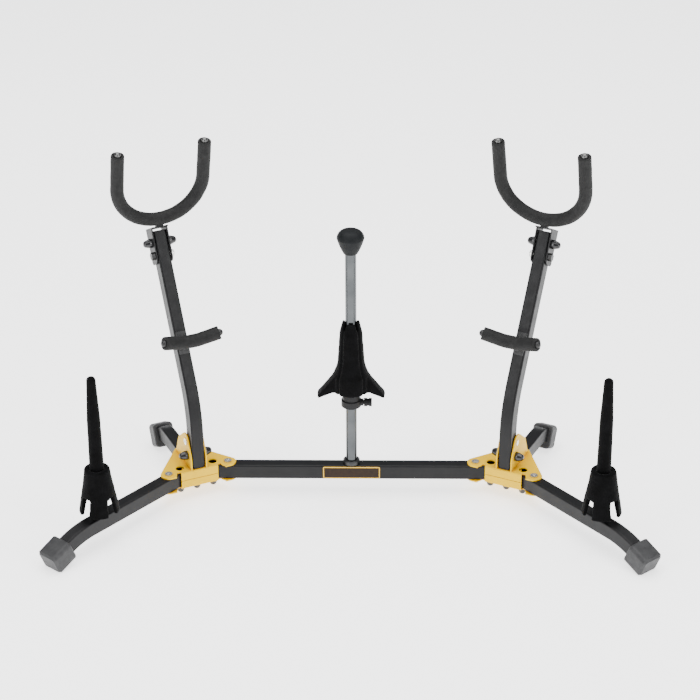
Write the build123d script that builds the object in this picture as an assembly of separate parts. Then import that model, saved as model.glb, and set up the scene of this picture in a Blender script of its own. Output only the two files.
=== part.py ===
from build123d import *
import os
from math import cos, radians, sin

os.makedirs("parts", exist_ok=True)

# Double saxophone stand with a centre soprano peg and two flute pegs.
# Stand frame: X right along the centre bar, Y away from the player, Z up from the floor.
# Hub frame: X is the way a hub faces, Y is towards the centre bar, Z is the stand's Z.
# Leg frame: X outwards from the leg's own pivot, Z is the stand's Z.

# ------------------------------------------------------------------ driving dimensions, mm
TUBE_W = 15.0          # narrow side of every black tube
TUBE_H = 18.0          # wide side of every black tube
TUBE_WALL = 1.5
TUBE_CORNER = 2.0
TUBE_Z = 27.5          # centre line of the bar and legs above the floor
PLATE = 1.5            # hub and bracket sheet
PLATE_GAP = 0.1        # play between a tube and each hub plate
SPLAY = 65.0           # angle of the bar, and of the front leg, from the way the hub faces
PIVOT_SPAN = 288.0     # distance between the two rivets that carry the bar
RIVET_X = 8.0          # leg rivets in the hub frame
RIVET_Y = 36.5
RIVET_R = 3.0
LOCK_REACH = 18.0      # rivet to lock button, along a tube
TUBE_TAIL = 27.0       # a tube runs this far past its rivet into the hub
LOBE_R = 9.5
FLANGE_X = 12.2        # front face of a hub
FLANGE_HALF = 22.7
SEAM = 0.6             # gap between the upper and lower front flanges
TAIL_X = -42.0         # corner centres at the back of a hub
TAIL_Y = 7.7
ARM_X = 1.0            # centre line of the upright part of an arm
ARM_FOOT_Z = 38.9
ARM_BEND_Z = 78.0
ARM_BEND_R = 127.0
ARM_LEAN = 28.5
ARM_STRAIGHT = 178.0
ARM_PIVOT = (-4.0, 69.5)
ARM_PIVOT_R = 2.4
EAR_BUTTON = (-1.0, 52.8)
SIDE_PLAY = 0.8        # arm to ear, and arm to yoke bracket
REST_ALONG = 47.0      # lower rest, measured along the straight part of the arm
REST_OUT = 42.0        # its rod in front of the arm's centre line
REST_HALF = 33.0
REST_TIP = 25.0        # degrees
YOKE_PIVOT = (-28.0, 4.0)   # below the arm's top, in front of its centre line
YOKE_BUTTON = (-13.0, 1.0)
YOKE_FOOT = (12.6, 17.0)    # bottom of the yoke's rod, same measures
YOKE_LEAN = 12.0       # the yoke leans forward from upright
YOKE_HALF = 51.2       # half the distance between the prongs
YOKE_TALL = 100.0
ROD_R = 4.0
FOAM_R = 7.7
SOFT_GAP = 0.3         # soft sleeve to its rod
FRONT_LEG = (125.0, 100.0, 22.0, 20.0)  # flat length, bend radius, drop in degrees, end
REAR_LEG = (89.0, 50.0, 26.0, 13.0)
REAR_LEG_START = -9.0
FRONT_BOOT = (28.0, 13.5, 12.5, 27.0)   # width, up, down, length
REAR_BOOT = (25.0, 12.0, 16.5, 20.0)
PEG_AT = 109.0         # flute peg from the leg rivet, along the leg
PEG_TOP_Z = 212.0
STUD_R = 3.0
STUD_LONG = 15.0
POST_R = 6.4           # soprano post
KNOB_Z = (307.0, 334.0)
COLLAR_Z = (113.0, 122.0)
COLLAR_R = 11.5
SKIRT_Z = 134.0        # underside of the soprano cone's body
SKIRT_R = 20.5
WING_HALF = 8.5
SCREW_R = 2.5
BULLET_LONG = 10.0     # lock button length outside its plate
BULLET_R = 5.3
PRESS_HOLE = 5.7       # tube hole in front of a lock button
RUNNING = 0.06         # radial play of a running fit
FOLD_R = 1.6           # outer radius of a folded edge

# ------------------------------------------------------------------ sizes that follow
TUBE_TOP = TUBE_Z + TUBE_H / 2
TUBE_BOTTOM = TUBE_Z - TUBE_H / 2
HUB_TOP = TUBE_TOP + PLATE_GAP + PLATE
HUB_BOTTOM = TUBE_BOTTOM - PLATE_GAP - PLATE
CHEEK_IN = TUBE_W / 2 + SIDE_PLAY
CHEEK_OUT = CHEEK_IN + PLATE
LOCK_X = RIVET_X - LOCK_REACH * cos(radians(SPLAY))
LOCK_Y = RIVET_Y - LOCK_REACH * sin(radians(SPLAY))
LEAN_SIN = sin(radians(ARM_LEAN))
LEAN_COS = cos(radians(ARM_LEAN))

# the left hub's origin in the stand frame, with the bar's centre line on Y = 0
HUB_AT = (
    -PIVOT_SPAN / 2 - RIVET_X * cos(radians(SPLAY)) - RIVET_Y * sin(radians(SPLAY)),
    RIVET_X * sin(radians(SPLAY)) - RIVET_Y * cos(radians(SPLAY)),
)

# the arm's bend end and top end in the hub frame, as (x, z)
BEND_END = (ARM_X - ARM_BEND_R * (1 - LEAN_COS), ARM_BEND_Z + ARM_BEND_R * LEAN_SIN)
ARM_TOP = (BEND_END[0] - ARM_STRAIGHT * LEAN_SIN, BEND_END[1] + ARM_STRAIGHT * LEAN_COS)


def near_top(along, front):
    """Hub-frame (x, z) of a point given along the arm from its top and in front of it."""
    return (
        ARM_TOP[0] - along * LEAN_SIN + front * LEAN_COS,
        ARM_TOP[1] + along * LEAN_COS + front * LEAN_SIN,
    )


def bend_end(leg):
    """Leg-frame (x, z) where a leg's bend ends."""
    flat, radius, drop, end = leg
    turn = radians(drop)
    return (flat + radius * sin(turn), TUBE_Z - radius * (1 - cos(turn)))


# ------------------------------------------------------------------ placing
def on_hub(piece, side):
    """Move a piece from the hub frame to its side of the stand."""
    left = Location((HUB_AT[0], HUB_AT[1], 0), (0, 0, -SPLAY)) * piece
    return left if side == "left" else mirror(left, about=Plane.YZ)


def on_front_leg(piece):
    return Location((RIVET_X, -RIVET_Y, 0), (0, 0, -SPLAY)) * piece


def on_rear_leg(piece):
    return Location((0, 0, 0), (0, 0, 180)) * piece


def across_arm(piece, x, z, y_sign):
    """Lay a piece that points along +Z across an arm at (x, z), pointing out to one side."""
    return Location((x, 0, z), (-90 * y_sign, 0, 0)) * piece


def leaning(along, front):
    """Frame on the leaning arm: X in front of it, Y across, Z along it."""
    x, z = near_top(along, front)
    return Plane(origin=(x, 0, z), x_dir=(LEAN_COS, 0, LEAN_SIN), z_dir=(-LEAN_SIN, 0, LEAN_COS))


# ------------------------------------------------------------------ shared shapes
def tube_outline(plane, across, tall, inset):
    return plane * RectangleRounded(across - 2 * inset, tall - 2 * inset, TUBE_CORNER - inset)


def hollow_tube(path, plane, across, tall):
    """A hollow tube swept along a path that starts on the plane."""
    skin = sweep(tube_outline(plane, across, tall, 0), path=path)
    bore = sweep(tube_outline(plane, across, tall, TUBE_WALL), path=path)
    return skin - bore


def leg_path(start, leg):
    """Straight, down round a bend, and straight again, in the leg frame."""
    flat, radius, drop, end = leg
    turn = radians(drop)
    x, z = bend_end(leg)
    middle = (flat + radius * sin(turn / 2), 0, TUBE_Z - radius * (1 - cos(turn / 2)))
    run = Line((start, 0, TUBE_Z), (flat, 0, TUBE_Z))
    bend = ThreePointArc((flat, 0, TUBE_Z), middle, (x, 0, z))
    tip = Line((x, 0, z), (x + end * cos(turn), 0, z - end * sin(turn)))
    return Wire([run, bend, tip])


def leg_tube(start, leg):
    plane = Plane(origin=(start, 0, TUBE_Z), x_dir=(0, 1, 0), z_dir=(1, 0, 0))
    return hollow_tube(leg_path(start, leg), plane, TUBE_W, TUBE_H)


def boot(leg, size):
    """A rubber boot round a leg's end, flat where it meets the floor."""
    wide, up, down, length = size
    x, z = bend_end(leg)
    turn = radians(leg[2])
    frame = Plane(origin=(x, 0, z), x_dir=(0, 1, 0), z_dir=(cos(turn), 0, -sin(turn)))
    block = Pos(0, (up - down) / 2, length / 2) * Box(wide, up + down, length)
    block = fillet(block.edges().filter_by(Axis.Z), 5.0)
    block = chamfer(block.faces().sort_by(Axis.Z)[-1].edges(), 2.5)
    block = chamfer(block.faces().sort_by(Axis.Z)[0].edges(), 1.2)
    socket = Pos(0, 0, leg[3] / 2 - 1) * Box(TUBE_W + 0.1, TUBE_H + 0.1, leg[3] + 2.2)
    placed = frame * (block - fillet(socket.edges().filter_by(Axis.Z), TUBE_CORNER))
    floor_cut = Pos(x, 0, -50) * Box(200, 200, 100)
    return placed - floor_cut


def cross_pin(x, z, radius):
    """A long cylinder across the arm, to drill with."""
    return Location((x, 0, z), (90, 0, 0)) * Cylinder(radius, 60)


def upright_pin(x, y, radius):
    """A long upright cylinder through the bar or legs, to drill with."""
    return Pos(x, y, TUBE_Z) * Cylinder(radius, 60)


def bullet():
    """A lock button along +Z: flush with the back of its plate, domed in front."""
    nose = BULLET_LONG - 2.6
    face = make_face(
        [
            Line((0, -PLATE), (BULLET_R, -PLATE)),
            Line((BULLET_R, -PLATE), (BULLET_R, 3.2)),
            Line((BULLET_R, 3.2), (BULLET_R - 1.3, nose)),
            ThreePointArc((BULLET_R - 1.3, nose), (3.0, BULLET_LONG - 0.9), (1.2, BULLET_LONG)),
            Line((1.2, BULLET_LONG), (0, BULLET_LONG)),
            Line((0, BULLET_LONG), (0, -PLATE)),
        ]
    )
    return revolve(Plane.XZ * face, Axis.Z)


def hull_of(circles):
    """The outline stretched round a few circles given as (x, y, radius)."""
    rounds = [Pos(x, y) * Circle(radius) for x, y, radius in circles]
    return make_hull([edge for circle in rounds for edge in circle.edges()])


# ------------------------------------------------------------------ hub
def plate_outline():
    """Plan of a hub plate: two rivet lobes in front and a narrow tail over the rear leg."""
    lobes = [(RIVET_X, RIVET_Y, LOBE_R), (RIVET_X, -RIVET_Y, LOBE_R)]
    tail = [(TAIL_X, TAIL_Y, 3.0), (TAIL_X, -TAIL_Y, 3.0)]
    plan = hull_of(lobes + tail)
    plan -= Pos(FLANGE_X + 25, 0) * Rectangle(50, 60)
    for sign in (-1, 1):
        plan -= Pos(FLANGE_X, sign * (FLANGE_HALF + 3)) * Rectangle(7, 6)
        plan += Pos(RIVET_X, sign * RIVET_Y) * Circle(LOBE_R)
    return plan


def folded_plate(bottom, flange_low, flange_high, fold_z):
    """A hub plate with its front edge folded into a flange."""
    plate = Pos(0, 0, bottom) * extrude(plate_outline(), PLATE)
    middle = (flange_low + flange_high) / 2
    tall = flange_high - flange_low
    plate += Pos(FLANGE_X - PLATE / 2, 0, middle) * Box(PLATE, 2 * FLANGE_HALF, tall)
    fold = plate.edges().filter_by(Axis.Y).filter_by_position(Axis.X, FLANGE_X - 0.01, FLANGE_X + 0.01)
    return fillet(fold.filter_by_position(Axis.Z, fold_z - 0.01, fold_z + 0.01), FOLD_R)


def drill_plate(plate, lock_radius):
    """Rivet holes and lock holes."""
    for sign in (-1, 1):
        plate -= upright_pin(RIVET_X, sign * RIVET_Y, RIVET_R + RUNNING)
        plate -= upright_pin(LOCK_X, sign * LOCK_Y, lock_radius)
    return plate - upright_pin(0, 0, lock_radius)


def ear(sign):
    """One upright ear: wide at its foot, round about the arm's pivot."""
    outline = hull_of(
        [
            (-6.0, 69.5, 9.5),
            (-24.0, 57.0, 8.0),
            (-37.5, HUB_TOP, 2.5),
            (9.0, HUB_TOP, 2.0),
            (9.0, 52.0, 2.0),
        ]
    )
    outline -= Pos(-15, HUB_TOP - 10.5) * Rectangle(120, 20)
    sheet = extrude(Plane.XZ * outline, PLATE / 2, both=True)
    return Pos(0, sign * (CHEEK_IN + CHEEK_OUT) / 2, 0) * sheet


def hub_top_plate():
    plate = folded_plate(HUB_TOP - PLATE, TUBE_Z + SEAM / 2, HUB_TOP, HUB_TOP)
    plate = drill_plate(plate, BULLET_R - 0.3)
    for sign in (-1, 1):
        plate += ear(sign)
    plate -= cross_pin(ARM_PIVOT[0], ARM_PIVOT[1], ARM_PIVOT_R + RUNNING)
    return plate - cross_pin(EAR_BUTTON[0], EAR_BUTTON[1], BULLET_R + RUNNING)


def hub_bottom_plate():
    """The lower plate, with two upright guides that keep the rear leg straight."""
    plate = folded_plate(HUB_BOTTOM, HUB_BOTTOM, TUBE_Z - SEAM / 2, HUB_BOTTOM)
    guide_z = HUB_BOTTOM + PLATE + TUBE_H / 2 - 0.6
    for sign in (-1, 1):
        plate += Pos(-29, sign * (TUBE_W / 2 + 0.3 + PLATE / 2), guide_z) * Box(26, PLATE, TUBE_H - 1)
    return drill_plate(plate, BULLET_R + RUNNING)


def leg_rivet():
    """A semi-tubular rivet through both plates, dished at each end."""
    grip = HUB_TOP - HUB_BOTTOM
    body = Cylinder(RIVET_R, grip + 1)
    for sign in (-1, 1):
        body += Pos(0, 0, sign * (grip / 2 + 0.65)) * Cylinder(4.4, 1.3)
    for sign in (-1, 1):
        body -= Pos(0, 0, sign * (grip / 2 + 1.3)) * Cylinder(1.9, 2.4)
    return body


def arm_rivet():
    """The arm's pivot: a broad head on one ear, a small flare on the other."""
    body = Cylinder(ARM_PIVOT_R, 2 * CHEEK_OUT + 1)
    body += Pos(0, 0, CHEEK_OUT + 0.6) * Cylinder(4.2, 1.2)
    body += Pos(0, 0, -CHEEK_OUT - 0.4) * Cylinder(3.4, 0.8)
    return body - Pos(0, 0, CHEEK_OUT + 1.2) * Cylinder(1.5, 2.0)


def hub_rivets(side):
    """Two upright leg rivets and the arm's pivot, whose head shows on the left of either arm."""
    group = [Pos(RIVET_X, sign * RIVET_Y, (HUB_TOP + HUB_BOTTOM) / 2) * leg_rivet() for sign in (-1, 1)]
    head = -1 if side == "left" else 1
    return group + [across_arm(arm_rivet(), ARM_PIVOT[0], ARM_PIVOT[1], head)]


def leg_button(x, y):
    return Location((x, y, HUB_BOTTOM), (180, 0, 0)) * bullet()


def ear_button(sign):
    return across_arm(Pos(0, 0, CHEEK_OUT) * bullet(), EAR_BUTTON[0], EAR_BUTTON[1], sign)


# ------------------------------------------------------------------ arm and lower rest
def arm_tube():
    half = radians(ARM_LEAN / 2)
    foot = (ARM_X, 0, ARM_FOOT_Z + 2)
    middle = (ARM_X - ARM_BEND_R * (1 - cos(half)), 0, ARM_BEND_Z + ARM_BEND_R * sin(half))
    upright = Line(foot, (ARM_X, 0, ARM_BEND_Z))
    bend = ThreePointArc((ARM_X, 0, ARM_BEND_Z), middle, (BEND_END[0], 0, BEND_END[1]))
    straight = Line((BEND_END[0], 0, BEND_END[1]), (ARM_TOP[0], 0, ARM_TOP[1]))
    start = Plane(origin=foot, x_dir=(1, 0, 0), z_dir=(0, 0, 1))
    arm = hollow_tube(Wire([upright, bend, straight]), start, TUBE_H, TUBE_W)
    arm -= cross_pin(ARM_PIVOT[0], ARM_PIVOT[1], ARM_PIVOT_R + RUNNING)
    arm -= cross_pin(EAR_BUTTON[0], EAR_BUTTON[1], PRESS_HOLE)
    arm -= cross_pin(*near_top(*YOKE_PIVOT), ARM_PIVOT_R + RUNNING)
    return arm - cross_pin(*near_top(*YOKE_BUTTON), PRESS_HOLE)


def arm_foot_plug():
    """End plug: a chamfered cap under the tube and a shank inside it."""
    cap = Pos(ARM_X, 0, ARM_FOOT_Z + 1) * Box(TUBE_H, TUBE_W, 2.0)
    cap = chamfer(cap.edges().filter_by(Axis.Z), 2.2)
    bore_x = TUBE_H - 2 * TUBE_WALL - 0.1
    bore_y = TUBE_W - 2 * TUBE_WALL - 0.1
    return cap + Pos(ARM_X, 0, ARM_FOOT_Z + 4) * Box(bore_x - 0.4, bore_y - 0.4, 4.4)


def rest_path():
    """The lower rest's rod in the plane across the arm: X in front of it, Y across it."""
    out = REST_OUT + 8
    points = [(out, -REST_HALF), (REST_OUT, -9), (REST_OUT, 9), (out, REST_HALF)]
    return FilletPolyline(*points, radius=12)


def tipped(piece):
    """Tip the rest's rod about its middle, so that its two ends rise."""
    return Location((REST_OUT, 0, 0), (0, -REST_TIP, 0)) * Location((-REST_OUT, 0, 0)) * piece


def rest_sleeve(radius):
    path = rest_path()
    return sweep(Plane(origin=path @ 0, z_dir=path % 0) * Circle(radius), path=path)


def lower_rest_frame():
    """Bent rod with capped ends, the stalk that carries it and its foot on the arm."""
    path = rest_path()
    face_x = TUBE_H / 2
    frame = rest_sleeve(ROD_R)
    for point in (path @ 0, path @ 1):
        frame += Pos(point.X, point.Y, 0) * Sphere(ROD_R)
    frame = tipped(frame)
    frame += Pos((face_x + REST_OUT) / 2, 0, 0) * Box(REST_OUT - face_x, 10.0, 6.0)
    frame += Pos(face_x + 1, 0, 0) * Box(2.0, 12.0, 26.0)
    return leaning(REST_ALONG - ARM_STRAIGHT, 0) * frame


def lower_rest_foam():
    shell = rest_sleeve(FOAM_R) - rest_sleeve(ROD_R + SOFT_GAP)
    shell = tipped(shell)
    shell -= Pos(REST_OUT - 7, 0, 0) * Box(14, 10 + 2 * SOFT_GAP, 6 + 2 * SOFT_GAP)
    return leaning(REST_ALONG - ARM_STRAIGHT, 0) * shell


# ------------------------------------------------------------------ yoke
def yoke_bracket():
    """Folded channel that straddles the arm's top, with a tab up to the yoke's rod."""
    wall = hull_of([(9.0, 2.1, 2.0), (-9.0, 2.1, 2.0), (-7.0, -34.0, 4.0), (3.0, -31.0, 6.0)])
    channel = Pos(2.0, 0, 3.35) * Box(26.0, 2 * CHEEK_OUT, PLATE)
    for sign in (-1, 1):
        sheet = extrude(Plane.XZ * wall, PLATE / 2, both=True)
        channel += Pos(0, sign * (CHEEK_IN + CHEEK_OUT) / 2, 0) * sheet
    channel += Pos(YOKE_FOOT[1] - 5, 0, 7.0) * Box(7.0, 8.0, 6.0)
    channel = leaning(0, 0) * channel
    channel -= yoke_sleeve(ROD_R + 0.02)
    channel -= cross_pin(*near_top(*YOKE_PIVOT), ARM_PIVOT_R + RUNNING)
    return channel - cross_pin(*near_top(*YOKE_BUTTON), BULLET_R + RUNNING)


def yoke_plane():
    """The yoke's own plane: X across the arm, Y up the prongs, origin at its lowest point."""
    x, z = near_top(*YOKE_FOOT)
    lean = radians(YOKE_LEAN)
    return Plane(origin=(x, 0, z), x_dir=(0, 1, 0), z_dir=(cos(lean), 0, -sin(lean)))


def yoke_sleeve(radius, shorten=0.0):
    """A round bar bent into the yoke's U, with both ends cut back by the same amount."""
    top = YOKE_TALL - shorten
    left = Line((-YOKE_HALF, top), (-YOKE_HALF, YOKE_HALF))
    bow = ThreePointArc((-YOKE_HALF, YOKE_HALF), (0, 0), (YOKE_HALF, YOKE_HALF))
    right = Line((YOKE_HALF, YOKE_HALF), (YOKE_HALF, top))
    start = Plane(origin=(-YOKE_HALF, top, 0), x_dir=(1, 0, 0), z_dir=(0, -1, 0))
    return yoke_plane() * sweep(start * Circle(radius), path=Wire([left, bow, right]))


def yoke_rod():
    rod = yoke_sleeve(ROD_R, ROD_R)
    for sign in (-1, 1):
        rod += yoke_plane() * Pos(sign * YOKE_HALF, YOKE_TALL - ROD_R, 0) * Sphere(ROD_R)
    return rod


def yoke_foam():
    shell = yoke_sleeve(FOAM_R, ROD_R) - yoke_sleeve(ROD_R + SOFT_GAP)
    notch = Pos(YOKE_FOOT[1] - 7, 0, 7.2) * Box(11.6, 8 + 2 * SOFT_GAP, 6.6)
    flat = Pos(2.0, 0, 2.2) * Box(26.6, 2 * (CHEEK_OUT + SOFT_GAP), 4.4)
    return shell - leaning(0, 0) * (notch + flat)


def yoke_pivot_bolt():
    """Pan-head bolt from the inner side, with its washer."""
    bolt = Pos(0, 0, -0.9) * Cylinder(ARM_PIVOT_R, 2 * CHEEK_OUT + 4.8)
    bolt += Pos(0, 0, CHEEK_OUT + 0.5) * Cylinder(5.2, 1.0)
    bolt += Pos(0, 0, CHEEK_OUT + 2.1) * Cylinder(4.0, 2.2)
    rim = bolt.faces().sort_by(Axis.Z)[-1].edges()
    return across_arm(fillet(rim, 1.2), *near_top(*YOKE_PIVOT), 1)


def yoke_pivot_nut():
    nut = extrude(RegularPolygon(4.6, 6), 4.6)
    nut = Pos(0, 0, CHEEK_OUT) * (nut - Pos(0, 0, 1.6) * Cylinder(ARM_PIVOT_R + 0.02, 4.0))
    return across_arm(nut, *near_top(*YOKE_PIVOT), -1)


def yoke_button(sign):
    return across_arm(Pos(0, 0, CHEEK_OUT) * bullet(), *near_top(*YOKE_BUTTON), sign)


# ------------------------------------------------------------------ legs and flute pegs
def front_leg_tube():
    leg = leg_tube(-TUBE_TAIL, FRONT_LEG)
    leg -= upright_pin(0, 0, RIVET_R + RUNNING)
    leg -= upright_pin(-LOCK_REACH, 0, PRESS_HOLE)
    leg -= Pos(PEG_AT, 0, TUBE_TOP) * Cylinder(STUD_R + RUNNING, 10)
    return on_front_leg(leg)


def rear_leg_tube():
    leg = leg_tube(REAR_LEG_START, REAR_LEG)
    return on_rear_leg(leg - upright_pin(0, 0, PRESS_HOLE))


def flute_post():
    """Tapered post with a round tip and the stud that plugs into the leg."""
    foot = TUBE_TOP + SOFT_GAP
    tip = PEG_TOP_Z - 4.4
    face = make_face(
        [
            Line((0, foot - STUD_LONG), (STUD_R, foot - STUD_LONG)),
            Line((STUD_R, foot - STUD_LONG), (STUD_R, foot)),
            Line((STUD_R, foot), (8.0, foot)),
            Line((8.0, foot), (8.0, 102)),
            Line((8.0, 102), (7.4, 160)),
            Line((7.4, 160), (5.2, tip)),
            ThreePointArc((5.2, tip), (3.9, PEG_TOP_Z - 1.4), (1.0, PEG_TOP_Z)),
            Line((1.0, PEG_TOP_Z), (0, PEG_TOP_Z)),
            Line((0, PEG_TOP_Z), (0, foot - STUD_LONG)),
        ]
    )
    return on_front_leg(Pos(PEG_AT, 0, 0) * revolve(Plane.XZ * face, Axis.Z))


def flute_cone():
    """Soft skirt on a flute peg: a core, and four petals that splay down round the leg."""
    core_r = 8.0 + SOFT_GAP
    outline = Polyline((core_r, 97), (13.8, 97), (14.3, 95.4), (16.2, 81), (22.8, 43), (19, 42),
                       (12.4, 62), (9.8, 64), (9.8, 38), (core_r, 38), (core_r, 97))
    cone = revolve(Plane.XZ * make_face(outline), Axis.Z)
    for turn in (0, 90):
        slot = Location((0, 0, 46), (0, 0, turn)) * Box(80, 11, 36)
        cone -= slot - Pos(0, 0, 46) * Cylinder(11, 80)
    return on_front_leg(Pos(PEG_AT, 0, 0) * cone)


# ------------------------------------------------------------------ centre bar and soprano peg
def centre_bar():
    half = PIVOT_SPAN / 2 + TUBE_TAIL
    path = Line((-half, 0, TUBE_Z), (half, 0, TUBE_Z))
    start = Plane(origin=(-half, 0, TUBE_Z), x_dir=(0, 1, 0), z_dir=(1, 0, 0))
    bar = hollow_tube(Wire([path]), start, TUBE_W, TUBE_H)
    for sign in (-1, 1):
        bar -= upright_pin(sign * PIVOT_SPAN / 2, 0, RIVET_R + RUNNING)
        bar -= upright_pin(sign * (PIVOT_SPAN / 2 + LOCK_REACH), 0, PRESS_HOLE)
    return bar - Pos(0, 0, TUBE_TOP) * Cylinder(4.05, 10)


def name_plate():
    plate = RectangleRounded(66, 15.4, 1.6)
    return Plane(origin=(0, -TUBE_W / 2, TUBE_Z), x_dir=(1, 0, 0), z_dir=(0, -1, 0)) * extrude(plate, 0.6)


def soprano_post():
    """Plain post with a spigot down into the bar."""
    top = KNOB_Z[0] + 12
    post = Pos(0, 0, (TUBE_TOP + top) / 2) * Cylinder(POST_R, top - TUBE_TOP)
    return post + Pos(0, 0, TUBE_TOP - 6) * Cylinder(4.0, 12)


def post_base_nut():
    ring = Pos(0, 0, TUBE_TOP + 3) * Cylinder(9.6, 6)
    ring = chamfer(ring.edges(), 1.2)
    return ring - Pos(0, 0, TUBE_TOP) * Cylinder(POST_R + 0.02, 30)


def soprano_knob():
    low, high = KNOB_Z
    bore_top = low + 12.2
    face = make_face(
        [
            Line((POST_R + 0.05, low), (8.2, low)),
            ThreePointArc((8.2, low), (13.6, high - 15.0), (15.5, high - 9.0)),
            ThreePointArc((15.5, high - 9.0), (12.4, high - 2.4), (3.0, high)),
            Line((3.0, high), (0, high)),
            Line((0, high), (0, bore_top)),
            Line((0, bore_top), (POST_R + 0.05, bore_top)),
            Line((POST_R + 0.05, bore_top), (POST_R + 0.05, low)),
        ]
    )
    return revolve(Plane.XZ * face, Axis.Z)


def soprano_cone():
    """Soft bell cone: petals at the top, a slim body, and a skirt with two drooping wings."""
    bore = POST_R + SOFT_GAP
    profile = make_face(
        [
            Line((bore, 221), (9.6, 222)),
            Line((9.6, 222), (13.0, 208)),
            Line((13.0, 208), (15.3, 172)),
            ThreePointArc((15.3, 172), (19.0, 158), (25.0, 147)),
            Line((25.0, 147), (39.0, 129)),
            Line((39.0, 129), (38.4, 126.6)),
            Line((38.4, 126.6), (22.0, SKIRT_Z)),
            Line((22.0, SKIRT_Z), (bore, SKIRT_Z)),
            Line((bore, SKIRT_Z), (bore, 221)),
        ]
    )
    cone = revolve(Plane.XZ * profile, Axis.Z)
    slab = Pos(0, 0, 175) * Box(90, 2 * WING_HALF, 120)
    cone = cone & (slab + Pos(0, 0, 175) * Cylinder(SKIRT_R, 120))
    for turn in range(4):
        wedge = Plane.YZ * make_face(Polyline((-3.0, 230), (0, 206), (3.0, 230), (-3.0, 230)))
        cone -= Location((0, 0, 0), (0, 0, 45 + 90 * turn)) * extrude(wedge, 20)
    return cone


def cone_collar():
    """Ring that carries the cone on the post, with a boss for its thumb screw."""
    low, high = COLLAR_Z
    ring = Pos(0, 0, (low + high) / 2) * Cylinder(COLLAR_R, high - low)
    ring = chamfer(ring.edges(), 0.8)
    ring += Pos(0, 0, (high + SKIRT_Z - SOFT_GAP) / 2) * Cylinder(10.2, SKIRT_Z - SOFT_GAP - high)
    ring += Location((COLLAR_R, 0, (low + high) / 2), (0, 90, 0)) * Cylinder(4.2, 5)
    ring -= Pos(0, 0, high) * Cylinder(POST_R + RUNNING, 60)
    middle = (low + high) / 2
    return ring - Location((COLLAR_R, 0, middle), (0, 90, 0)) * Cylinder(SCREW_R + RUNNING, 30, align=(Align.CENTER,) * 3)


def thumb_screw():
    """Knurled thumb screw: a shank to the post and a stepped, ribbed head."""
    start = POST_R + 0.4
    head = COLLAR_R + 3.0
    shank = Pos(0, 0, (start + head) / 2) * Cylinder(SCREW_R, head - start)
    grip = Pos(0, 0, head + 2) * Cylinder(4.9, 4.0)
    grip += Pos(0, 0, head + 4.8) * Cylinder(4.2, 1.6)
    grip += Pos(0, 0, head + 7.4) * Cylinder(4.9, 3.6)
    for step in range(16):
        groove = Location((0, 0, head + 5), (0, 0, step * 22.5)) * Pos(5.1, 0, 0) * Cylinder(0.45, 14)
        grip -= groove
    return Location((0, 0, sum(COLLAR_Z) / 2), (0, 90, 0)) * (shank + grip)


# ------------------------------------------------------------------ assembly
def side_pieces(side):
    """Every node on one side of the stand, still in the hub frame."""
    return {
        "hub_top_plate": [hub_top_plate()],
        "hub_bottom_plate": [hub_bottom_plate()],
        "hub_rivets": hub_rivets(side),
        "front_leg_button": [leg_button(LOCK_X, -LOCK_Y)],
        "bar_button": [leg_button(LOCK_X, LOCK_Y)],
        "rear_leg_button": [leg_button(0, 0)],
        "arm_button_outer": [ear_button(-1)],
        "arm_button_inner": [ear_button(1)],
        "arm_tube": [arm_tube()],
        "arm_foot_plug": [arm_foot_plug()],
        "lower_rest_frame": [lower_rest_frame()],
        "lower_rest_foam": [lower_rest_foam()],
        "yoke_bracket": [yoke_bracket()],
        "yoke_pivot_bolt": [yoke_pivot_bolt()],
        "yoke_pivot_nut": [yoke_pivot_nut()],
        "yoke_button_outer": [yoke_button(-1)],
        "yoke_button_inner": [yoke_button(1)],
        "yoke_rod": [yoke_rod()],
        "yoke_foam": [yoke_foam()],
        "front_leg_tube": [front_leg_tube()],
        "front_foot": [on_front_leg(boot(FRONT_LEG, FRONT_BOOT))],
        "flute_post": [flute_post()],
        "flute_cone": [flute_cone()],
        "rear_leg_tube": [rear_leg_tube()],
        "rear_foot": [on_rear_leg(boot(REAR_LEG, REAR_BOOT))],
    }


def centre_pieces():
    return {
        "centre_bar": [centre_bar()],
        "name_plate": [name_plate()],
        "soprano_post": [soprano_post()],
        "post_base_nut": [post_base_nut()],
        "soprano_knob": [soprano_knob()],
        "soprano_cone": [soprano_cone()],
        "cone_collar": [cone_collar()],
        "thumb_screw": [thumb_screw()],
    }


def stand():
    """All nodes in the stand frame, with the origin under the middle of the whole stand."""
    nodes = centre_pieces()
    for side in ("left", "right"):
        for name, solids in side_pieces(side).items():
            nodes[f"{name}_{side}"] = [on_hub(solid, side) for solid in solids]
    boxes = [solid.bounding_box() for solids in nodes.values() for solid in solids]
    middle = (min(box.min.Y for box in boxes) + max(box.max.Y for box in boxes)) / 2
    return {
        name: Compound(children=[Pos(0, -middle, 0) * solid for solid in solids])
        for name, solids in nodes.items()
    }


for node_name, node in stand().items():
    export_step(node, f"parts/{node_name}.step")
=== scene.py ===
import math

import bpy
from mathutils import Matrix, Vector, noise


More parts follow.
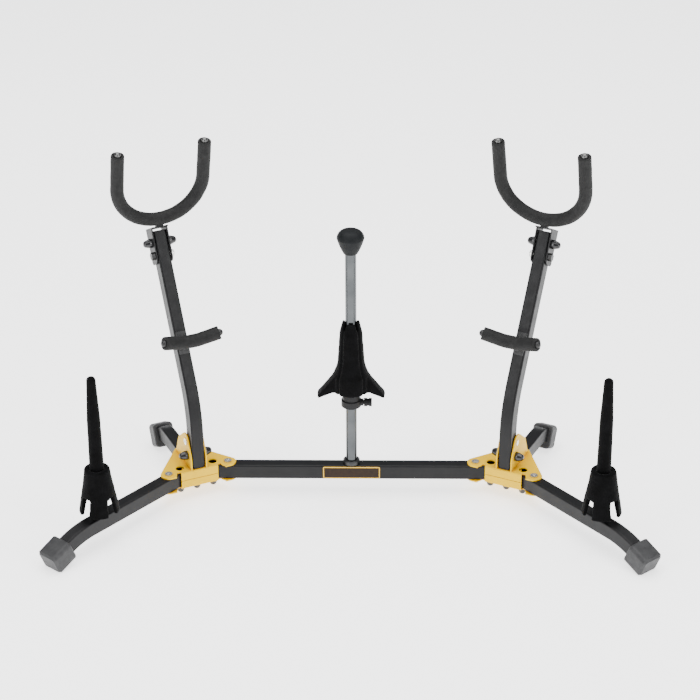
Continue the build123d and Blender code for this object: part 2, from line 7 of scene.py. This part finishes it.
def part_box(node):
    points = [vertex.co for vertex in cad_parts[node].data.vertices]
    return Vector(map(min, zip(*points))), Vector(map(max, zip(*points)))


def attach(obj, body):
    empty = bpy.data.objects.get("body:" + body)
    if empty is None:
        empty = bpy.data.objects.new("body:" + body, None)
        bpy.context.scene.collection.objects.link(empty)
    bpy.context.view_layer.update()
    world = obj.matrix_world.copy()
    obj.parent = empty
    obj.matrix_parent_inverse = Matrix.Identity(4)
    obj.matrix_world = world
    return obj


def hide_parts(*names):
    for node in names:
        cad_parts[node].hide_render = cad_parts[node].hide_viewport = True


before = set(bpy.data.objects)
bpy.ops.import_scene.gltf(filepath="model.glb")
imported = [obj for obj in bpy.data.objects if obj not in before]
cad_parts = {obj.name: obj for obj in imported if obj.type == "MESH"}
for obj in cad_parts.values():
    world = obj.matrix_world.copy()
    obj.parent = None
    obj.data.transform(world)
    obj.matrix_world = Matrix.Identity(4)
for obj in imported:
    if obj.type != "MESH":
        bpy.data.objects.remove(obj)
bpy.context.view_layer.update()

# Looks of the double saxophone stand, in metres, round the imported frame.

SIDES = ("left", "right")
MM = 0.001

# ------------------------------------------------------------------ camera
FOCAL_MM = 113.57              # on a 36 mm wide sensor
CAMERA_FROM_BAR = (0.0377, -2.2074, 1.3587)   # from the floor under the centre of the bar
CAMERA_PITCH = 0.48863         # downwards, radians
CAMERA_YAW = -0.0176
CAMERA_ROLL = -0.0049

# ------------------------------------------------------------------ where things are
bar_low, bar_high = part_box("centre_bar")
BAR_Y = (bar_low[1] + bar_high[1]) / 2
plate_low, plate_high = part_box("name_plate")

# ------------------------------------------------------------------ soft pieces' skins
YOKE_VOXEL = 0.7 * MM
REST_VOXEL = 0.6 * MM
CONE_VOXEL = 1.0 * MM
PEG_VOXEL = 0.9 * MM
PETALS = 4
FIRST_CREASE = math.radians(45)
CREASE_DEPTH = 1.2 * MM
CREASE_WIDTH = 1.6 * MM
GOLD_LINE = 1.1 * MM           # border of the badge
GOLD = (0.7, 0.42, 0.05, 1)
FLOOR_HALF = 6.0


# ------------------------------------------------------------------ material helpers
def link(tree, source, output, target, socket):
    tree.links.new(source.outputs[output], target.inputs[socket])


def add_node(tree, kind, **values):
    """A node with its attributes and its sockets' own values set."""
    item = tree.nodes.new(kind)
    for key, value in values.items():
        if hasattr(item, key):
            setattr(item, key, value)
        else:
            item.inputs[key.replace("_", " ")].default_value = value
    return item


def noise_node(tree, coords, scale, detail=3.0, rough=0.55):
    grain = add_node(tree, "ShaderNodeTexNoise")
    grain.inputs["Scale"].default_value = scale
    grain.inputs["Detail"].default_value = detail
    grain.inputs["Roughness"].default_value = rough
    link(tree, coords, "Object", grain, "Vector")
    return grain


def mix_colors(tree, dark, light, factor_node, factor_output):
    mix = add_node(tree, "ShaderNodeMix", data_type="RGBA")
    mix.inputs[6].default_value = (*dark, 1)
    mix.inputs[7].default_value = (*light, 1)
    tree.links.new(factor_node.outputs[factor_output], mix.inputs[0])
    return mix


def ramp_between(tree, node, low, high, low_out, high_out):
    """Maps a noise value's range to another range."""
    ramp = add_node(tree, "ShaderNodeMapRange")
    ramp.inputs["From Min"].default_value = low
    ramp.inputs["From Max"].default_value = high
    ramp.inputs["To Min"].default_value = low_out
    ramp.inputs["To Max"].default_value = high_out
    tree.links.new(node.outputs[0], ramp.inputs["Value"])
    return ramp


def material(name, dark, light, rough, metallic=0.0, patch=60.0, grain=1500.0, bump=0.1,
             depth=0.00005, sheen=0.0, coat=0.0, specular=0.5):
    """A base finish: patchy colour, patchy roughness and a fine bump, all at real scale."""
    made = bpy.data.materials.new(name)
    made.use_nodes = True
    tree = made.node_tree
    shader = tree.nodes["Principled BSDF"]
    coords = add_node(tree, "ShaderNodeTexCoord")
    clouds = noise_node(tree, coords, patch)
    spread = ramp_between(tree, clouds, 0.3, 0.7, 0.0, 1.0)
    mix = mix_colors(tree, dark, light, spread, 0)
    tree.links.new(mix.outputs[2], shader.inputs["Base Color"])
    rough_map = ramp_between(tree, noise_node(tree, coords, patch * 2.3), 0.3, 0.7, rough[0], rough[1])
    tree.links.new(rough_map.outputs[0], shader.inputs["Roughness"])
    fine = noise_node(tree, coords, grain, 2.0)
    relief = add_node(tree, "ShaderNodeBump")
    relief.inputs["Strength"].default_value = bump
    relief.inputs["Distance"].default_value = depth
    tree.links.new(fine.outputs[0], relief.inputs["Height"])
    link(tree, relief, "Normal", shader, "Normal")
    shader.inputs["Metallic"].default_value = metallic
    shader.inputs["Specular IOR Level"].default_value = specular
    shader.inputs["Coat Weight"].default_value = coat
    shader.inputs["Coat Roughness"].default_value = 0.25
    shader.inputs["Sheen Weight"].default_value = sheen
    shader.inputs["Sheen Roughness"].default_value = 0.35
    return made


# ------------------------------------------------------------------ materials
black_coat = material("black_powder_coat", (0.003, 0.003, 0.0035), (0.006, 0.006, 0.0065), (0.36, 0.46),
                      patch=45, grain=2600, bump=0.25, depth=0.00006, specular=0.2)
yellow_coat = material("yellow_powder_coat", (0.72, 0.44, 0.0), (0.8, 0.5, 0.0), (0.36, 0.46),
                       patch=35, grain=2400, bump=0.2, depth=0.00005, specular=0.1)
zinc = material("zinc_plate", (0.55, 0.55, 0.53), (0.72, 0.72, 0.7), (0.2, 0.34), metallic=1.0,
                patch=260, grain=3000, bump=0.15)
chrome = material("chrome_plate", (0.06, 0.064, 0.067), (0.09, 0.095, 0.098), (0.14, 0.2), metallic=1.0,
                  patch=40, grain=1200, bump=0.02)
dull_steel = material("dull_steel", (0.1, 0.1, 0.1), (0.16, 0.16, 0.155), (0.3, 0.42), metallic=1.0,
                      patch=200, grain=2600, bump=0.15)
black_oxide = material("black_oxide", (0.006, 0.006, 0.007), (0.014, 0.014, 0.014), (0.35, 0.5),
                       metallic=0.2, patch=180, grain=2600, bump=0.2)
button_black = material("button_plastic", (0.006, 0.006, 0.007), (0.012, 0.012, 0.013), (0.18, 0.26),
                        patch=150, grain=900, bump=0.06)
moulded_black = material("moulded_plastic", (0.004, 0.004, 0.0045), (0.008, 0.008, 0.0085), (0.45, 0.55),
                         patch=120, grain=2200, bump=0.3, specular=0.2)
knob_black = material("knob_plastic", (0.003, 0.004, 0.0045), (0.006, 0.007, 0.008), (0.55, 0.65),
                      patch=90, grain=2600, bump=0.45, depth=0.00008, specular=0.15)
boot_rubber = material("boot_rubber", (0.016, 0.016, 0.017), (0.03, 0.03, 0.031), (0.5, 0.62),
                       patch=110, grain=2400, bump=0.5, depth=0.00012, specular=0.35)
foam_black = material("closed_cell_foam", (0.005, 0.005, 0.005), (0.01, 0.01, 0.01), (0.62, 0.78),
                      patch=140, grain=1700, bump=0.7, depth=0.0002, specular=0.22)
velvet = material("flock_velvet", (0.0012, 0.0012, 0.0012), (0.003, 0.003, 0.0033), (0.85, 0.95),
                  patch=70, grain=3200, bump=0.8, depth=0.00025, sheen=0.05, specular=0.06)


def paint_shade_in_hollows(target, painted_shade_color, reach):
    """Painted shade: warms and deepens the colour where surfaces meet, in folds and corners, found by
    ambient occlusion.
    """
    tree = target.node_tree
    shader = tree.nodes["Principled BSDF"]
    plain = shader.inputs["Base Color"].links[0].from_socket
    # Painted shade: occlusion within reach pulls the colour towards the shade colour.
    shadow = add_node(tree, "ShaderNodeAmbientOcclusion", samples=8)
    shadow.inputs["Distance"].default_value = reach
    spread = ramp_between(tree, shadow, 0.35, 0.95, 1.0, 0.0)
    tree.links.new(shadow.outputs["AO"], spread.inputs["Value"])
    mix = add_node(tree, "ShaderNodeMix", data_type="RGBA")
    mix.inputs[7].default_value = (*painted_shade_color, 1)
    tree.links.new(plain, mix.inputs[6])
    tree.links.new(spread.outputs[0], mix.inputs[0])
    tree.links.new(mix.outputs[2], shader.inputs["Base Color"])


def axis_distance(tree, coords, direction, offset):
    """How far a point lies along a direction, less an offset."""
    dot = add_node(tree, "ShaderNodeVectorMath", operation="DOT_PRODUCT")
    dot.inputs[1].default_value = direction
    tree.links.new(coords.outputs["Object"], dot.inputs[0])
    less = add_node(tree, "ShaderNodeMath", operation="SUBTRACT")
    less.inputs[1].default_value = offset
    tree.links.new(dot.outputs["Value"], less.inputs[0])
    return less


def framed_plate():
    """Blank badge: dark brown field inside a gold line."""
    made = material("blank_badge", (0.012, 0.005, 0.002), (0.02, 0.009, 0.003), (0.3, 0.4), patch=300,
                    grain=900, bump=0.05, specular=0.15)
    tree = made.node_tree
    shader = tree.nodes["Principled BSDF"]
    field = shader.inputs["Base Color"].links[0].from_socket
    coords = add_node(tree, "ShaderNodeTexCoord")
    edge = None
    for axis, low, high in ((0, plate_low[0], plate_high[0]), (2, plate_low[2], plate_high[2])):
        direction = [0.0, 0.0, 0.0]
        direction[axis] = 1.0
        along = axis_distance(tree, coords, direction, (low + high) / 2)
        away = add_node(tree, "ShaderNodeMath", operation="ABSOLUTE")
        tree.links.new(along.outputs[0], away.inputs[0])
        border = add_node(tree, "ShaderNodeMath", operation="GREATER_THAN")
        border.inputs[1].default_value = (high - low) / 2 - GOLD_LINE
        tree.links.new(away.outputs[0], border.inputs[0])
        if edge is None:
            edge = border
        else:
            either = add_node(tree, "ShaderNodeMath", operation="MAXIMUM")
            tree.links.new(edge.outputs[0], either.inputs[0])
            tree.links.new(border.outputs[0], either.inputs[1])
            edge = either
    mix = add_node(tree, "ShaderNodeMix", data_type="RGBA")
    mix.inputs[7].default_value = GOLD
    tree.links.new(edge.outputs[0], mix.inputs[0])
    tree.links.new(field, mix.inputs[6])
    tree.links.new(mix.outputs[2], shader.inputs["Base Color"])
    return made


badge = framed_plate()
# Painted shade: the yellow coat turns a deeper orange where surfaces meet, within 6 mm.
paint_shade_in_hollows(yellow_coat, (0.62, 0.27, 0.0), 0.006)

CAD_FINISH = {
    "centre_bar": black_coat,
    "name_plate": badge,
    "soprano_post": chrome,
    "post_base_nut": black_oxide,
    "soprano_knob": knob_black,
    "cone_collar": moulded_black,
    "thumb_screw": moulded_black,
    "hub_top_plate": yellow_coat,
    "hub_bottom_plate": yellow_coat,
    "hub_rivets": zinc,
    "front_leg_button": button_black,
    "bar_button": button_black,
    "rear_leg_button": button_black,
    "arm_button_outer": button_black,
    "arm_button_inner": button_black,
    "arm_tube": black_coat,
    "arm_foot_plug": moulded_black,
    "lower_rest_frame": black_oxide,
    "yoke_bracket": black_coat,
    "yoke_pivot_bolt": zinc,
    "yoke_pivot_nut": black_oxide,
    "yoke_button_outer": button_black,
    "yoke_button_inner": button_black,
    "yoke_rod": dull_steel,
    "front_leg_tube": black_coat,
    "front_foot": boot_rubber,
    "rear_leg_tube": black_coat,
    "rear_foot": boot_rubber,
    "flute_post": velvet,
    "flute_cone": velvet,
    "soprano_cone": velvet,
    "lower_rest_foam": foam_black,
    "yoke_foam": foam_black,
}


def plain_name(node):
    """A node's name without its side."""
    for side in SIDES:
        if node.endswith("_" + side):
            return node[: -len(side) - 1]
    return node


for node_name, cad_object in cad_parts.items():
    cad_object.data.materials.clear()
    cad_object.data.materials.append(CAD_FINISH[plain_name(node_name)])


# ------------------------------------------------------------------ soft pieces
def baked_copy(source, name, voxel, relax):
    """A fine, even skin over a plain soft solid, with its edges rounded off."""
    made = bpy.data.objects.new(name, source.data.copy())
    bpy.context.scene.collection.objects.link(made)
    remesh = made.modifiers.new("skin", "REMESH")
    remesh.mode = "VOXEL"
    remesh.voxel_size = voxel
    smooth = made.modifiers.new("relax", "SMOOTH")
    smooth.factor = 0.5
    smooth.iterations = relax
    evaluated = made.evaluated_get(bpy.context.evaluated_depsgraph_get())
    skin = bpy.data.meshes.new_from_object(evaluated)
    made.modifiers.clear()
    made.data = skin
    skin.name = name
    for polygon in skin.polygons:
        polygon.use_smooth = True
    return made


def push_skin(piece, amount):
    """Moves each point of a skin along its normal by amount(point), in metres."""
    skin = piece.data
    normals = [vertex.normal.copy() for vertex in skin.vertices]
    for vertex, normal in zip(skin.vertices, normals):
        vertex.co += normal * amount(vertex.co)
    skin.update()


def pillow(point, scale, height):
    return noise.noise(point * scale) * height


def finish_piece(piece, finish, node, body):
    piece.data.materials.clear()
    piece.data.materials.append(finish)
    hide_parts(node)
    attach(piece, body)


def foam_sleeve(node, body, voxel):
    """Foam tube with soft rounded ends and the faint unevenness of cut foam."""
    piece = baked_copy(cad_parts[node], node + "_soft", voxel, 8)
    push_skin(piece, lambda point: pillow(point, 90, 0.00022) + pillow(point, 420, 0.0001))
    finish_piece(piece, foam_black, node, body)


def creased(point, centre, depth):
    """Depth of the creases that run down between petals, at a point round an upright axis."""
    turn = math.atan2(point.y - centre.y, point.x - centre.x) - FIRST_CREASE
    step = 2 * math.pi / PETALS
    off = (turn + step / 2) % step - step / 2
    reach = math.hypot(point.x - centre.x, point.y - centre.y)
    return -depth * math.exp(-((off * reach / CREASE_WIDTH) ** 2))


def velvet_cone(node, body, voxel, depth):
    """Flocked foam cone: creased between its petals by depth, with a slightly uneven nap."""
    low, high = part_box(node)
    centre = Vector(((low[0] + high[0]) / 2, (low[1] + high[1]) / 2, 0))
    piece = baked_copy(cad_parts[node], node + "_soft", voxel, 5)
    push_skin(
        piece,
        lambda point: creased(point, centre, depth)
        + pillow(point, 160, 0.00025)
        + pillow(point, 700, 0.00012),
    )
    finish_piece(piece, velvet, node, body)


def velvet_post(node, body):
    """Flocked peg with the nap's soft outline."""
    piece = baked_copy(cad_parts[node], node + "_flocked", PEG_VOXEL, 4)
    push_skin(piece, lambda point: pillow(point, 300, 0.00016) + pillow(point, 900, 0.0001))
    finish_piece(piece, velvet, node, body)


velvet_cone("soprano_cone", "bell_cone", CONE_VOXEL, CREASE_DEPTH)
for side in SIDES:
    foam_sleeve("yoke_foam_" + side, "yoke_" + side, YOKE_VOXEL)
    foam_sleeve("lower_rest_foam_" + side, "arm_" + side, REST_VOXEL)
    velvet_cone("flute_cone_" + side, "flute_peg_" + side, PEG_VOXEL, 0.0)
    velvet_post("flute_post_" + side, "flute_peg_" + side)


# ------------------------------------------------------------------ stage, light and camera
def floor():
    """Plain pale floor."""
    mesh = bpy.data.meshes.new("floor")
    corners = [
        (-FLOOR_HALF, -FLOOR_HALF, 0),
        (FLOOR_HALF, -FLOOR_HALF, 0),
        (FLOOR_HALF, FLOOR_HALF, 0),
        (-FLOOR_HALF, FLOOR_HALF, 0),
    ]
    mesh.from_pydata(corners, [], [(0, 1, 2, 3)])
    made = bpy.data.objects.new("floor", mesh)
    bpy.context.scene.collection.objects.link(made)
    pale = material("pale_floor", (0.93, 0.93, 0.93), (0.94, 0.94, 0.94), (0.8, 0.9), patch=3, grain=60,
                    bump=0.0)
    shader = pale.node_tree.nodes["Principled BSDF"]
    shader.inputs["Emission Color"].default_value = (1.0, 1.0, 1.0, 1)
    shader.inputs["Emission Strength"].default_value = 1.8
    mesh.materials.append(pale)


def softbox(name, place, aim, size, power):
    lamp = bpy.data.lights.new(name, "AREA")
    lamp.shape = "RECTANGLE"
    lamp.size, lamp.size_y = size
    lamp.energy = power
    made = bpy.data.objects.new(name, lamp)
    bpy.context.scene.collection.objects.link(made)
    made.location = place
    made.rotation_euler = (Vector(aim) - Vector(place)).to_track_quat("-Z", "Y").to_euler()


def studio():
    world = bpy.data.worlds.new("studio")
    world.use_nodes = True
    world.node_tree.nodes["Background"].inputs["Color"].default_value = (0.75, 0.77, 0.8, 1)
    world.node_tree.nodes["Background"].inputs["Strength"].default_value = 0.5
    bpy.context.scene.world = world
    target = (0, 0, 0.15)
    softbox("overhead", (0, 0.1, 2.6), target, (3.2, 3.2), 150)
    softbox("front_right", (2.0, -1.9, 1.3), target, (1.0, 1.6), 45)
    softbox("front_left", (-2.0, -1.9, 1.3), target, (1.0, 1.6), 45)


def camera():
    turn, pitch, roll = CAMERA_YAW, CAMERA_PITCH, CAMERA_ROLL
    level = math.cos(pitch)
    ahead = Vector((math.sin(turn) * level, math.cos(turn) * level, -math.sin(pitch)))
    right = Vector((math.cos(turn), -math.sin(turn), 0))
    up = right.cross(ahead)
    across = math.cos(roll) * right + math.sin(roll) * up
    upward = -math.sin(roll) * right + math.cos(roll) * up
    lens = bpy.data.cameras.new("photo_angle")
    lens.lens = FOCAL_MM
    lens.sensor_width = 36
    made = bpy.data.objects.new("photo_angle", lens)
    bpy.context.scene.collection.objects.link(made)
    place = Vector(CAMERA_FROM_BAR) + Vector((0, BAR_Y, 0))
    facing = Matrix((across, upward, -ahead)).transposed().to_4x4()
    made.matrix_world = Matrix.Translation(place) @ facing
    bpy.context.scene.camera = made


floor()
studio()
camera()
